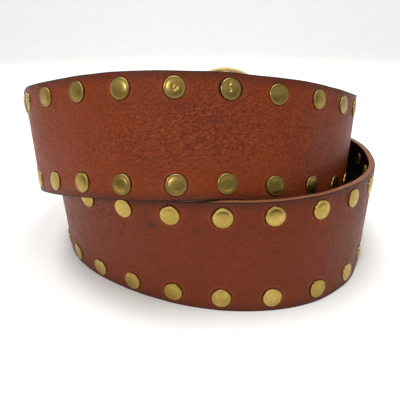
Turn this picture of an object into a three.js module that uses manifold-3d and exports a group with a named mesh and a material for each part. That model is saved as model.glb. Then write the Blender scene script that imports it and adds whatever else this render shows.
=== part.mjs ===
// A wide studded leather belt, rolled into a two-turn coil and stood on its lower edge.
// Millimetres, +Z up. The origin is on the floor under the middle of the coil, and -Y is the side
// that faces the viewer. The buckle is at the back, on +Y.
//
// The strap is one strip. From the buckle bar it runs anticlockwise seen from above: over the left
// side into the upper turn, which crosses the rim of the lower turn at the front, down the inside
// of the right and back, and round again as the lower turn, to a tip that lies behind the buckle.

import * as THREE from "three";
import { mergeVertices } from "three/addons/utils/BufferGeometryUtils.js";
import Module from "manifold-3d";

const wasm = await Module();
wasm.setup();

// Strap
const strapWidth = 47;
const strapThickness = 3;
const strapStep = 6.5; // usual length of one flat of the faceted strap
const coilRadius = 84;
const coilCentre = { x: 0.009 * coilRadius, y: -0.122 * coilRadius }; // from the whole belt's middle
const crossingLean = 17; // degrees, how far the upper turn tips back where it crosses the rim
const restGap = 0.3; // between the lower turn's rim and the upper turn that lies on it
const floorTrim = 0.15; // leather worn flat where the lower edge stands

// Tip of the strap, with its holes
const tipLength = 30;
const tipEndWidth = 10;
const tipHoleDiameter = 4.5;
const tipHolePitch = 25;
const tipHoleCount = 5;
const tipToFirstHole = 80;

// Studs: two rows of cap rivets
const studPitch = 20;
const studMargin = 6; // from the strap's edge to the middle of a stud
const studCapDiameter = 8;
const studCapHeight = 1;
const studCapRim = 0.5; // height of the cap's upright rim
const studPostDiameter = 2.8;
const studBackDiameter = 6;
const studBackHeight = 0.7;
const studGap = 0.25; // between a stud and the leather it is set in
const studSeat = 0.6; // flat of the strap that shows round a cap
const studSink = 0.6; // how far a stud that is one with the strap reaches into it
const barToFirstStud = 45.5;
const tipToLastStud = 48;

// Where the strap passes the front, as the upper turn and as the lower one, some pairs of studs are
// pieces of their own. The middle pair of each turn is the one nearest the front.
const ownTurns = [
  { turnName: "upper", front: 270 },
  { turnName: "lower", front: 630 },
];
const ownPairs = 9; // in each of the two turns

// Buckle frame: a round rim, with a bar across its middle that is set back behind it
const barDiameter = 4;
const barGap = 0.3; // between the bar and what turns on it
const rimWidth = 5.5;
const rimThickness = 4;
const rimChamfer = 1.1;
const rimSideGap = 0.6; // between the strap's edge and the rim
const rimFaceGap = 0.4; // between the strap's face and the back of the rim
const lugLength = 5; // along the strap
const lugCover = 0.5; // metal of a lug behind the bar

// Fold of the strap round the bar
const foldLength = 66; // strap turned back behind itself and riveted
const foldTaper = 20; // length in which the fold closes up behind the bar
const foldGap = 0.3;
const slotLength = 13; // of the tongue's slot, each side of the bar

// Tongue
const tongueWidth = 4.4;
const tongueThickness = 2.6;
const tongueOverhang = 1.5; // past the outer edge of the rim
const tongueSlotGap = 1;
const tongueRestGap = 0.3;

const wrapRadius = barDiameter / 2 + barGap + strapThickness / 2;
const rimInnerRadius = strapWidth / 2 + rimSideGap;
const rimOuterRadius = rimInnerRadius + rimWidth;
const rimForward = wrapRadius + strapThickness / 2 + rimFaceGap + rimThickness / 2;

// One layer of the coil, with room for a cap outside and a back inside
const layerGap = 1.3;
const layerStep = strapThickness + studCapHeight + studBackHeight + 2 * studGap + layerGap;

// Height at which the upper turn's lower edge clears the lower turn's rim
const leanDrop = (strapThickness / 2) * Math.sin(THREE.MathUtils.degToRad(crossingLean));
const stackHeight = strapWidth + restGap + leanDrop;

// The line of the strap's lower edge, from the bar to the tip. turn is in degrees round the coil
// from +X. The distance from the coil's middle is radius, a share of coilRadius, and layers, a
// share of layerStep. height is a share of stackHeight above the floor, and lean a share of
// crossingLean by which the strap's upper edge tips outwards.
const coilStations = [
  { turn: 79, radius: 1.02, layers: 2.1, height: 0.522, lean: 0 },
  { turn: 95, radius: 1.015, layers: 1.9, height: 0.525, lean: 0 },
  { turn: 115, radius: 0.99, layers: 1.9, height: 0.525, lean: 0 },
  { turn: 140, radius: 0.91, layers: 2.3, height: 0.52, lean: 0.1 },
  { turn: 165, radius: 0.85, layers: 2.1, height: 0.53, lean: 0.3 },
  { turn: 180, radius: 0.842, layers: 1.85, height: 0.57, lean: 0.39 },
  { turn: 195, radius: 0.842, layers: 1.75, height: 0.659, lean: 0.25 },
  { turn: 210, radius: 0.849, layers: 1.85, height: 0.768, lean: -0.08 },
  { turn: 225, radius: 0.855, layers: 1.75, height: 0.863, lean: -0.37 },
  { turn: 240, radius: 0.872, layers: 1.7, height: 0.95, lean: -0.68 },
  { turn: 255, radius: 0.913, layers: 1.35, height: 1.0, lean: -0.88 },
  { turn: 270, radius: 0.975, layers: 0.1, height: 1.002, lean: -0.98 },
  { turn: 277, radius: 1.006, layers: -0.62, height: 0.985, lean: -1 },
  { turn: 285, radius: 1.04, layers: -1.2, height: 0.944, lean: -0.97 },
  { turn: 300, radius: 1.082, layers: -1.85, height: 0.876, lean: -0.66 },
  { turn: 315, radius: 1.084, layers: -2.15, height: 0.773, lean: -0.34 },
  { turn: 330, radius: 1.046, layers: -1.8, height: 0.673, lean: -0.1 },
  { turn: 345, radius: 1.026, layers: -1.6, height: 0.591, lean: 0.11 },
  { turn: 360, radius: 1.017, layers: -1.4, height: 0.52, lean: 0.22 },
  { turn: 385, radius: 1.02, layers: -1.3, height: 0.43, lean: 0.1 },
  { turn: 420, radius: 1.022, layers: -1.25, height: 0.33, lean: 0 },
  { turn: 450, radius: 1.022, layers: -1.25, height: 0.24, lean: 0 },
  { turn: 485, radius: 1.0, layers: -0.9, height: 0.12, lean: 0 },
  { turn: 515, radius: 0.895, layers: 0, height: 0.03, lean: 0 },
  { turn: 540, radius: 0.843, layers: 0, height: 0, lean: 0.02 },
  { turn: 570, radius: 0.856, layers: 0, height: 0, lean: 0.24 },
  { turn: 585, radius: 0.862, layers: 0, height: 0, lean: 0.3 },
  { turn: 600, radius: 0.875, layers: 0, height: 0, lean: 0.27 },
  { turn: 615, radius: 0.914, layers: 0, height: 0, lean: 0.18 },
  { turn: 630, radius: 0.975, layers: 0, height: 0, lean: 0 },
  { turn: 645, radius: 1.039, layers: 0, height: 0, lean: -0.18 },
  { turn: 660, radius: 1.086, layers: 0, height: 0, lean: -0.22 },
  { turn: 675, radius: 1.083, layers: 0, height: 0, lean: -0.12 },
  { turn: 690, radius: 1.044, layers: 0, height: 0, lean: 0.12 },
  { turn: 705, radius: 1.026, layers: 0, height: 0, lean: 0.1 },
  { turn: 720, radius: 1.017, layers: 0, height: 0, lean: 0.1 },
  { turn: 750, radius: 1.02, layers: 0, height: 0, lean: 0 },
  { turn: 790, radius: 1.02, layers: 0, height: 0, lean: 0 },
  { turn: 835, radius: 1.0, layers: 0, height: 0, lean: 0 },
];

// One column of the station table at any turn, as a smooth curve through the stations.
function stationValue(column, turn) {
  const last = coilStations.length - 1;
  const next = coilStations.findIndex((station) => station.turn > turn);
  const i = THREE.MathUtils.clamp(next < 0 ? last - 1 : next - 1, 0, last - 1);
  const slopeAt = (k) => {
    const before = coilStations[Math.max(k - 1, 0)];
    const after = coilStations[Math.min(k + 1, last)];
    return (after[column] - before[column]) / (after.turn - before.turn);
  };
  const from = coilStations[i];
  const to = coilStations[i + 1];
  const span = to.turn - from.turn;
  const t = (turn - from.turn) / span;
  return (
    (1 + 2 * t) * (1 - t) ** 2 * from[column] +
    t * (1 - t) ** 2 * span * slopeAt(i) +
    t ** 2 * (3 - 2 * t) * to[column] +
    t ** 2 * (t - 1) * span * slopeAt(i + 1)
  );
}

function lowerEdgePoint(turn) {
  const angle = THREE.MathUtils.degToRad(turn);
  const radius = stationValue("radius", turn) * coilRadius + stationValue("layers", turn) * layerStep;
  return new THREE.Vector3(
    coilCentre.x + radius * Math.cos(angle),
    coilCentre.y + radius * Math.sin(angle),
    stationValue("height", turn) * stackHeight - floorTrim,
  );
}

// The strap at one turn: the middle of its width, and the directions along it, up across its
// width and out of its face.
function strapPlaceAtTurn(turn) {
  const nudge = 0.5;
  const edge = lowerEdgePoint(turn);
  const along = lowerEdgePoint(turn + nudge).sub(lowerEdgePoint(turn - nudge)).normalize();
  const level = new THREE.Vector3(along.y, -along.x, 0).normalize();
  const lean = THREE.MathUtils.degToRad(stationValue("lean", turn) * crossingLean);
  const up = new THREE.Vector3(0, 0, Math.cos(lean)).addScaledVector(level, Math.sin(lean));
  up.addScaledVector(along, -up.dot(along)).normalize();
  const out = new THREE.Vector3().crossVectors(along, up);
  return { turn, middle: edge.addScaledVector(up, strapWidth / 2), along, up, out };
}

// Length along the middle of the strap against turn, so that pieces are placed by length.
function measureStrap() {
  const lastTurn = coilStations[coilStations.length - 1].turn;
  const rows = [{ turn: coilStations[0].turn, length: 0 }];
  let from = strapPlaceAtTurn(rows[0].turn).middle;
  for (let turn = rows[0].turn + 1; turn <= lastTurn; turn += 1) {
    const to = strapPlaceAtTurn(turn).middle;
    rows.push({ turn, length: rows[rows.length - 1].length + to.distanceTo(from) });
    from = to;
  }
  return rows;
}

const strapRuler = measureStrap();
const strapLength = strapRuler[strapRuler.length - 1].length;

function strapPlace(length) {
  const next = strapRuler.findIndex((row) => row.length >= length);
  const i = next < 0 ? strapRuler.length - 1 : Math.max(next, 1);
  const from = strapRuler[i - 1];
  const to = strapRuler[i];
  const share = (length - from.length) / (to.length - from.length);
  return strapPlaceAtTurn(THREE.MathUtils.lerp(from.turn, to.turn, share));
}

// The buckle's place: the middle of the bar, which lies behind the start of the strap.
function barPlace() {
  const start = strapPlace(0);
  return { ...start, middle: start.middle.clone().addScaledVector(start.out, -wrapRadius) };
}

// Studs stand in pairs across the strap, one in each row. Each has a flat of the strap to sit on.
const studRow = strapWidth / 2 - studMargin;
const seatHalf = studCapDiameter / 2 + studSeat;
const studCount = 1 + Math.floor((strapLength - tipToLastStud - barToFirstStud) / studPitch);
const studLengths = Array.from({ length: studCount }, (_, i) => barToFirstStud + i * studPitch);

// The middle of a stud's flat, on the strap's middle surface, with the flat's own directions.
function studPlace(length, row) {
  const [from, to] = [length - seatHalf, length + seatHalf].map((end) => {
    const place = strapPlace(end);
    return { point: place.middle.addScaledVector(place.up, row), up: place.up };
  });
  const along = to.point.clone().sub(from.point).normalize();
  const up = from.up.clone().add(to.up);
  up.addScaledVector(along, -up.dot(along)).normalize();
  const out = new THREE.Vector3().crossVectors(along, up);
  return { middle: from.point.add(to.point).multiplyScalar(0.5), along, up, out };
}

// Turns a shape made with X along the strap, Y up across it and Z out of its face into its place.
function placement({ middle, along, up, out }) {
  return new THREE.Matrix4().makeBasis(along, up, out).setPosition(middle);
}

function solidOf(geometry) {
  const bare = geometry.clone();
  bare.deleteAttribute("normal");
  bare.deleteAttribute("uv");
  const merged = mergeVertices(bare, 1e-4);
  return new wasm.Manifold(
    new wasm.Mesh({
      numProp: 3,
      vertProperties: new Float32Array(merged.attributes.position.array),
      triVerts: new Uint32Array(merged.index.array),
    }),
  );
}

function geometryOf(solid) {
  const mesh = solid.getMesh();
  const geometry = new THREE.BufferGeometry();
  geometry.setAttribute("position", new THREE.BufferAttribute(mesh.vertProperties, 3));
  geometry.setIndex(new THREE.BufferAttribute(mesh.triVerts, 1));
  geometry.computeVertexNormals();
  return geometry;
}

// A solid of revolution about Z through the points [radius, height], listed from the bottom up.
function turnedGeometry(points, sides) {
  const profile = points.map(([radius, height]) => new THREE.Vector2(radius, height));
  return new THREE.LatheGeometry(profile, sides).rotateX(Math.PI / 2);
}

// Lengths from the bar at which the strap has a section, between a start and an end.
function sectionLengths(start, end) {
  const seats = studLengths.flatMap((length) => [length - seatHalf, length + seatHalf]);
  const knots = [start, ...seats.filter((length) => length > start && length < end), end];
  return knots.slice(1).flatMap((to, i) => {
    const from = knots[i];
    const steps = Math.max(1, Math.round((to - from) / strapStep));
    return Array.from({ length: steps }, (_, k) => from + ((to - from) * (k + 1)) / steps);
  });
}

// Strap sections, each a rectangle across the strap: first the end of the turned-back fold, then
// round the bar, and on to the tip.
function foldSections() {
  return sectionLengths(0, foldLength).reverse().map((length) => {
    const place = strapPlace(length);
    const closed = THREE.MathUtils.smoothstep(length, 0, foldTaper);
    const behind = THREE.MathUtils.lerp(2 * wrapRadius, strapThickness + foldGap, closed);
    return {
      middle: place.middle.addScaledVector(place.out, -behind),
      up: place.up,
      out: place.out.clone().negate(),
      halfWidth: strapWidth / 2,
    };
  });
}

function wrapSections() {
  const steps = 8;
  const bar = barPlace();
  return Array.from({ length: steps + 1 }, (_, i) => {
    const angle = Math.PI * (1 - i / steps);
    const out = bar.out.clone().multiplyScalar(Math.cos(angle));
    out.addScaledVector(bar.along, -Math.sin(angle));
    return {
      middle: bar.middle.clone().addScaledVector(out, wrapRadius),
      up: bar.up,
      out,
      halfWidth: strapWidth / 2,
    };
  });
}

function mainSections() {
  return sectionLengths(0, strapLength - tipLength).map((length) => ({
    ...strapPlace(length),
    halfWidth: strapWidth / 2,
  }));
}

function tipSections() {
  const steps = 8;
  return Array.from({ length: steps }, (_, i) => {
    const angle = ((i + 1) / steps) * (Math.PI / 2);
    const roundHalf = (strapWidth - tipEndWidth) / 2;
    return {
      ...strapPlace(strapLength - tipLength * (1 - Math.sin(angle))),
      halfWidth: tipEndWidth / 2 + roundHalf * Math.cos(angle),
    };
  });
}

// A closed solid through a row of strap sections.
function sweepGeometry(sections) {
  const corners = [
    { side: -1, face: 1 },
    { side: 1, face: 1 },
    { side: 1, face: -1 },
    { side: -1, face: -1 },
  ];
  const positions = sections.flatMap((section) =>
    corners.flatMap(({ side, face }) =>
      section.middle
        .clone()
        .addScaledVector(section.up, side * section.halfWidth)
        .addScaledVector(section.out, (face * strapThickness) / 2)
        .toArray(),
    ),
  );
  const index = [];
  const ring = corners.length;
  const lastRing = (sections.length - 1) * ring;
  for (let start = 0; start < lastRing; start += ring) {
    for (let k = 0; k < ring; k += 1) {
      const a = start + k;
      const b = start + ((k + 1) % ring);
      index.push(a, b + ring, b, a, a + ring, b + ring);
    }
  }
  index.push(0, 1, 2, 0, 2, 3);
  index.push(lastRing, lastRing + 2, lastRing + 1, lastRing, lastRing + 3, lastRing + 2);
  const geometry = new THREE.BufferGeometry();
  geometry.setAttribute("position", new THREE.Float32BufferAttribute(positions, 3));
  geometry.setIndex(index);
  return geometry;
}

// Every stud: its place and, where it is a piece of its own, its name. Those of a turn are numbered
// along the strap.
function listStuds() {
  const turns = studLengths.map((length) => strapPlace(length).turn);
  const owners = ownTurns.map(({ turnName, front }) => {
    const offsets = turns.map((turn) => Math.abs(turn - front));
    return { turnName, first: offsets.indexOf(Math.min(...offsets)) - (ownPairs - 1) / 2 };
  });
  const rows = [
    { rowName: "top", across: studRow },
    { rowName: "bottom", across: -studRow },
  ];
  return studLengths.flatMap((length, i) => {
    const owner = owners.find(({ first }) => i >= first && i < first + ownPairs);
    return rows.map(({ rowName, across }) => ({
      name: owner && `stud_${owner.turnName}_${rowName}_${i - owner.first + 1}`,
      place: studPlace(length, across),
    }));
  });
}

// Outline of a stud's cap, from where its upright rim starts to the middle of its flat top.
// Heights are from the middle of the leather.
function capOutline(start) {
  const seat = strapThickness / 2 + studGap;
  return [
    [studCapDiameter / 2, start],
    [studCapDiameter / 2, seat + studCapRim],
    [(studCapDiameter / 2) * 0.78, seat + studCapHeight],
    [0, seat + studCapHeight],
  ];
}

// One cap rivet: its back, its post through the leather, and its cap.
function studGeometry() {
  const seat = strapThickness / 2 + studGap;
  return turnedGeometry(
    [
      [0, -seat - studBackHeight],
      [studBackDiameter / 2, -seat - studBackHeight],
      [studBackDiameter / 2, -seat],
      [studPostDiameter / 2, -seat],
      [studPostDiameter / 2, seat],
      ...capOutline(seat),
    ],
    8,
  );
}

// The raised cap of a stud that is one with the strap.
function fixedCapGeometry() {
  const root = strapThickness / 2 - studSink;
  return turnedGeometry([[0, root], ...capOutline(root)], 6);
}

function holeGeometry(diameter, sides) {
  const radius = diameter / 2;
  return new THREE.CylinderGeometry(radius, radius, 2 * strapThickness, sides).rotateX(Math.PI / 2);
}

// Strap: one strip with its tongue slot, tip holes and rivet holes
function strapSolid(studs) {
  const sections = [...foldSections(), ...wrapSections(), ...mainSections(), ...tipSections()];
  let strap = solidOf(sweepGeometry(sections));
  const slotDepth = 4 * (wrapRadius + strapThickness);
  const slot = new THREE.BoxGeometry(2 * slotLength, tongueWidth + 2 * tongueSlotGap, slotDepth);
  const cuts = [slot.applyMatrix4(placement(barPlace()))];
  for (let i = 0; i < tipHoleCount; i += 1) {
    const place = strapPlace(strapLength - tipToFirstHole - i * tipHolePitch);
    cuts.push(holeGeometry(tipHoleDiameter, 8).applyMatrix4(placement(place)));
  }
  for (const { name, place } of studs) {
    if (name) {
      const hole = holeGeometry(studPostDiameter + 2 * studGap, 6);
      cuts.push(hole.applyMatrix4(placement(place)));
    } else {
      strap = strap.add(solidOf(fixedCapGeometry().applyMatrix4(placement(place))));
    }
  }
  const floorSize = 4 * coilRadius;
  cuts.push(new THREE.BoxGeometry(floorSize, floorSize, 2).translate(0, 0, -1));
  return cuts.reduce((solid, cut) => solid.subtract(solidOf(cut)), strap);
}

// Buckle frame: a turned rim, and the bar held behind it on two lugs
function frameSolid() {
  const deep = rimThickness / 2;
  const rim = turnedGeometry(
    [
      [rimInnerRadius, -deep + rimChamfer],
      [rimInnerRadius + rimChamfer, -deep],
      [rimOuterRadius - rimChamfer, -deep],
      [rimOuterRadius, -deep + rimChamfer],
      [rimOuterRadius, deep - rimChamfer],
      [rimOuterRadius - rimChamfer, deep],
      [rimInnerRadius + rimChamfer, deep],
      [rimInnerRadius, deep - rimChamfer],
      [rimInnerRadius, -deep + rimChamfer],
    ],
    32,
  ).translate(0, 0, rimForward);
  let solid = solidOf(rim);
  const lugHeight = rimWidth - rimChamfer;
  const lugDepth = rimForward + barDiameter / 2 + lugCover;
  for (const side of [1, -1]) {
    const lug = new THREE.BoxGeometry(lugLength, lugHeight, lugDepth);
    lug.translate(0, side * (rimInnerRadius + lugHeight / 2), rimForward - lugDepth / 2);
    solid = solid.add(solidOf(lug));
  }
  const barLength = 2 * rimInnerRadius + lugHeight;
  const bar = new THREE.CylinderGeometry(barDiameter / 2, barDiameter / 2, barLength, 12);
  return solid.add(solidOf(bar));
}

// Tongue: an eye round the bar, and a shank that rises onto the rim and lies across it. The
// outline is in the plane of the strap's length, here -x, and its face, here y.
function tongueSolid() {
  const eyeInner = barDiameter / 2 + barGap;
  const eyeOuter = eyeInner + tongueThickness * 0.8;
  const rest = rimForward + rimThickness / 2 + tongueRestGap;
  const top = rest + tongueThickness;
  const bend = rimInnerRadius - tongueThickness;
  const end = rimOuterRadius + tongueOverhang;
  const shank = new THREE.Shape();
  shank.moveTo(0, eyeOuter);
  shank.absarc(0, 0, eyeOuter, Math.PI / 2, -Math.PI * 1.2, true);
  shank.lineTo(-bend, rest);
  shank.lineTo(-end, rest);
  shank.lineTo(-end, rest + tongueThickness / 2);
  shank.lineTo(-end + tongueThickness, top);
  shank.lineTo(-bend, top);
  const eye = new THREE.Path().absarc(0, 0, eyeInner, 0, 2 * Math.PI, false);
  shank.holes.push(eye);
  const options = { depth: tongueWidth, bevelEnabled: false, curveSegments: 8 };
  const geometry = new THREE.ExtrudeGeometry(shank, options);
  return solidOf(geometry.translate(0, 0, -tongueWidth / 2).rotateX(Math.PI / 2));
}

// Materials
const leather = () => new THREE.MeshStandardMaterial({ color: 0x8a3f22, roughness: 0.55 });
const agedBrass = () =>
  new THREE.MeshStandardMaterial({ color: 0xa08a4a, roughness: 0.38, metalness: 0.9 });

function addPiece(group, name, geometry, material) {
  const mesh = new THREE.Mesh(geometry, material);
  mesh.name = name;
  group.add(mesh);
  return mesh;
}

const belt = new THREE.Group();
const studs = listStuds();
addPiece(belt, "strap", geometryOf(strapSolid(studs)), leather());

const buckle = new THREE.Group();
buckle.applyMatrix4(placement(barPlace()));
addPiece(buckle, "buckle_frame", geometryOf(frameSolid()), agedBrass());
addPiece(buckle, "buckle_tongue", geometryOf(tongueSolid()), agedBrass());
belt.add(buckle);

const ownStud = geometryOf(solidOf(studGeometry()));
for (const { name, place } of studs.filter((stud) => stud.name)) {
  addPiece(belt, name, ownStud, agedBrass()).applyMatrix4(placement(place));
}

export default belt;
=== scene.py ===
# %% [markdown]
# # A studded leather belt, rolled into a coil
# The belt is one long leather strip with two rows of flat brass cap rivets and a round buckle. It
# is rolled into two turns and stands on its edge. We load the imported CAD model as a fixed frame,
# then build each piece in the same place with its real surface: leather, cut edges and old brass.
# Blender works in metres here, and the frame's own numbers are in metres too.

# %% Load the frame
import math

import bmesh
import bpy
import numpy as np
from mathutils import Matrix, Vector


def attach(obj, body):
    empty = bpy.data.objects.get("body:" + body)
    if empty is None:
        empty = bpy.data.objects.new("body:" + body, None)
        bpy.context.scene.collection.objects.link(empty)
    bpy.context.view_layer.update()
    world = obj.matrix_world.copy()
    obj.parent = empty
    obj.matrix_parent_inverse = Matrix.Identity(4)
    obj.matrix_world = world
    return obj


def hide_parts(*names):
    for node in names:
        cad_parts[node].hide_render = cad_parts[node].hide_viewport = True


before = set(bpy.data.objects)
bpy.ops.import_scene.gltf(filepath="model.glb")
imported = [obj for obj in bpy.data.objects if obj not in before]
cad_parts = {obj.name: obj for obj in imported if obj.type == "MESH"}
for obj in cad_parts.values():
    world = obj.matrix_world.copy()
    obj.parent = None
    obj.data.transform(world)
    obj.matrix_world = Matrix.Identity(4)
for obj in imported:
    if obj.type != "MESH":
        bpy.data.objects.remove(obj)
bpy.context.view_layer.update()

MM = 0.001

# %% [markdown]
# ## Camera
# The picture was taken a little above the belt, close to it, with an ordinary lens. The place, the
# lens and the tilt were worked out from where the rivets stand in the picture, so they are simply
# set here. A camera looks along its own -Z, so its three axes go into a matrix as columns.

# %% Place the camera
CAMERA_PLACE = Vector((0.82, -245.19, 109.79)) * MM
CAMERA_PITCH = math.radians(22.171)  # down from level
CAMERA_ROLL = -0.00729
CAMERA_LENS = 39.74  # mm, on a 36 mm sensor

right = Vector((1, 0, 0))
forward = Vector((0, math.cos(CAMERA_PITCH), -math.sin(CAMERA_PITCH)))
upward = Vector((0, math.sin(CAMERA_PITCH), math.cos(CAMERA_PITCH)))
rolled_right = right * math.cos(CAMERA_ROLL) + upward * math.sin(CAMERA_ROLL)
rolled_up = upward * math.cos(CAMERA_ROLL) - right * math.sin(CAMERA_ROLL)
bpy.ops.object.camera_add()
camera = bpy.context.object
camera.matrix_world = Matrix.Translation(CAMERA_PLACE) @ Matrix(
    (rolled_right, rolled_up, -forward)).transposed().to_4x4()
camera.data.sensor_width = 36
camera.data.lens = CAMERA_LENS
camera.data.clip_start = 0.01
bpy.context.scene.camera = camera
print("camera", [round(v, 4) for v in camera.location], "lens", CAMERA_LENS)

# %% [markdown]
# ## The line of the strap
# Everything follows one line: the strap's lower edge, round the coil from the buckle at the back
# to the tip. It could be a Blender curve, but a curve twists a strap in ways that are hard to steer,
# so the line is worked out in numbers. The CAD source lists it as stations, and the same stations
# are repeated here. Between them the values run on smooth cubic curves. From that line come the
# middle of the strap and three directions at each place: along it, up across it, and out of its face.

# %% Sizes shared with the CAD model, in mm
STRAP_WIDTH = 47.0
STRAP_THICKNESS = 3.0
COIL_RADIUS = 84.0
COIL_CENTRE = (0.009 * COIL_RADIUS, -0.122 * COIL_RADIUS)
CROSSING_LEAN = math.radians(17)
LAYER_STEP = 6.5
FLOOR_TRIM = 0.15
STACK_HEIGHT = STRAP_WIDTH + 0.3 + STRAP_THICKNESS / 2 * math.sin(CROSSING_LEAN)
BAR_DIAMETER = 4.0
WRAP_RADIUS = BAR_DIAMETER / 2 + 0.3 + STRAP_THICKNESS / 2

# Each station: turn round the coil in degrees, radius, layers, height and lean
STATIONS = np.array([
    (79, 1.02, 2.1, 0.522, 0), (95, 1.015, 1.9, 0.525, 0), (115, 0.99, 1.9, 0.525, 0),
    (140, 0.91, 2.3, 0.52, 0.1), (165, 0.85, 2.1, 0.53, 0.3), (180, 0.842, 1.85, 0.57, 0.39),
    (195, 0.842, 1.75, 0.659, 0.25), (210, 0.849, 1.85, 0.768, -0.08),
    (225, 0.855, 1.75, 0.863, -0.37), (240, 0.872, 1.7, 0.95, -0.68),
    (255, 0.913, 1.35, 1.0, -0.88), (270, 0.975, 0.1, 1.002, -0.98),
    (277, 1.006, -0.62, 0.985, -1), (285, 1.04, -1.2, 0.944, -0.97),
    (300, 1.082, -1.85, 0.876, -0.66),
    (315, 1.084, -2.15, 0.773, -0.34), (330, 1.046, -1.8, 0.673, -0.1),
    (345, 1.026, -1.6, 0.591, 0.11), (360, 1.017, -1.4, 0.52, 0.22), (385, 1.02, -1.3, 0.43, 0.1),
    (420, 1.022, -1.25, 0.33, 0), (450, 1.022, -1.25, 0.24, 0), (485, 1.0, -0.9, 0.12, 0),
    (515, 0.895, 0, 0.03, 0), (540, 0.843, 0, 0, 0.02), (570, 0.856, 0, 0, 0.24),
    (585, 0.862, 0, 0, 0.3), (600, 0.875, 0, 0, 0.27), (615, 0.914, 0, 0, 0.18),
    (630, 0.975, 0, 0, 0), (645, 1.039, 0, 0, -0.18), (660, 1.086, 0, 0, -0.22),
    (675, 1.083, 0, 0, -0.12), (690, 1.044, 0, 0, 0.12), (705, 1.026, 0, 0, 0.1),
    (720, 1.017, 0, 0, 0.1), (750, 1.02, 0, 0, 0), (790, 1.02, 0, 0, 0), (835, 1.0, 0, 0, 0),
])


# %% Read the line at any turn
def station_value(column, turn):
    turns, values = STATIONS[:, 0], STATIONS[:, column]
    slopes = np.empty(len(turns))
    slopes[1:-1] = (values[2:] - values[:-2]) / (turns[2:] - turns[:-2])
    slopes[0] = (values[1] - values[0]) / (turns[1] - turns[0])
    slopes[-1] = (values[-1] - values[-2]) / (turns[-1] - turns[-2])
    i = np.clip(np.searchsorted(turns, turn, side="right") - 1, 0, len(turns) - 2)
    span = turns[i + 1] - turns[i]
    t = (turn - turns[i]) / span
    return ((1 + 2 * t) * (1 - t) ** 2 * values[i] + t * (1 - t) ** 2 * span * slopes[i]
            + t ** 2 * (3 - 2 * t) * values[i + 1] + t ** 2 * (t - 1) * span * slopes[i + 1])


def lower_edge(turn):
    angle = np.radians(turn)
    radius = station_value(1, turn) * COIL_RADIUS + station_value(2, turn) * LAYER_STEP
    height = station_value(3, turn) * STACK_HEIGHT - FLOOR_TRIM
    return np.stack([COIL_CENTRE[0] + radius * np.cos(angle),
                     COIL_CENTRE[1] + radius * np.sin(angle), height], axis=-1)


def unit(vectors):
    return vectors / np.linalg.norm(vectors, axis=-1, keepdims=True)


def dot(a, b):
    return (a * b).sum(-1, keepdims=True)


def place_at_turn(turn):
    """The strap's middle, and its directions along, up and out, as arrays with a row a turn."""
    turn = np.asarray(turn, float)
    along = unit(lower_edge(turn + 0.5) - lower_edge(turn - 0.5))
    level = unit(np.stack([along[..., 1], -along[..., 0], 0 * along[..., 0]], axis=-1))
    lean = (station_value(4, turn) * CROSSING_LEAN)[..., None]
    up = np.cos(lean) * np.array([0, 0, 1.0]) + np.sin(lean) * level
    up = unit(up - dot(up, along) * along)
    return lower_edge(turn) + up * STRAP_WIDTH / 2, along, up, np.cross(along, up)


RULER_TURNS = np.arange(STATIONS[0, 0], STATIONS[-1, 0] + 0.5, 1.0)
ruler_middles = place_at_turn(RULER_TURNS)[0]
RULER = np.concatenate([[0], np.cumsum(np.linalg.norm(np.diff(ruler_middles, axis=0), axis=1))])
STRAP_LENGTH = float(RULER[-1])


def place_at_length(length):
    return place_at_turn(np.interp(length, RULER, RULER_TURNS))


print("strap from bar to tip, mm:", round(STRAP_LENGTH, 1))

# %% [markdown]
# ## Where the rivets go
# The rivets stand in pairs, 20 mm apart along the strap and 6 mm in from each edge. The strap
# needs their places first, because the leather is punched for their posts and pressed down round
# their caps. In the CAD model each rivet sits on a short flat of the strap, and the same flat gives
# its place and its tilt here.

# %% List the rivets
CAP_RADIUS = 4.0
STUD_PITCH = 20.0
STUD_ROW = STRAP_WIDTH / 2 - 6.0
FIRST_STUD = 45.5
LAST_STUD_FROM_TIP = 48.0
SEAT_HALF = 4.6
OWN_PAIRS = 9
pair_count = 1 + int((STRAP_LENGTH - LAST_STUD_FROM_TIP - FIRST_STUD) // STUD_PITCH)
pair_lengths = FIRST_STUD + STUD_PITCH * np.arange(pair_count)
pair_turns = np.interp(pair_lengths, RULER, RULER_TURNS)
first_own = {name: int(np.argmin(abs(pair_turns - front))) - OWN_PAIRS // 2
             for name, front in (("upper", 270), ("lower", 630))}


def stud_name(pair, row):
    for turn_name, first in first_own.items():
        if first <= pair < first + OWN_PAIRS:
            return f"stud_{turn_name}_{row}_{pair - first + 1}"
    return None


def stud_matrix(length, across):
    """Turns a rivet made at the origin, with Z out of the leather, into its place."""
    middle, _, up, _ = place_at_length(np.array([length - SEAT_HALF, length + SEAT_HALF]))
    ends = middle + up * across
    along = unit(ends[1] - ends[0])
    up = up[0] + up[1]
    up = unit(up - dot(up, along) * along)
    out = np.cross(along, up)
    matrix = Matrix((along, up, out)).transposed().to_4x4()
    matrix.translation = Vector(ends.mean(axis=0)) * MM
    return matrix


studs = [(stud_name(pair, row), float(length), side * STUD_ROW)
         for pair, length in enumerate(pair_lengths)
         for row, side in (("top", 1), ("bottom", -1))]
own = [name for name, _, _ in studs if name]
print(len(studs), "rivets,", len(own), "of them nodes of their own,",
      len(set(own) - set(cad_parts)), "missing from the frame")

# %% [markdown]
# ## The strap, flat on the bench
# A belt maker cuts the strip flat, punches it, and only then rolls it. The rolled belt could be
# modelled directly, but holes and edges are far easier to cut in a flat strip, so we do the same. A
# grid is stretched to the strip's cut size, its end is narrowed column by column into the rounded
# tip, and Solidify gives the leather its thickness. A bevel softens the cut edges. The grid is fine
# enough for the leather to dip round the rivets, and it stays flat until everything is cut.
# Along X, zero is the place where the strip leaves the buckle bar. The part that goes round the bar
# and back behind the strap lies at negative X.

# %% Small helpers for modelling
def deselect_all():
    bpy.ops.object.select_all(action="DESELECT")


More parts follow.
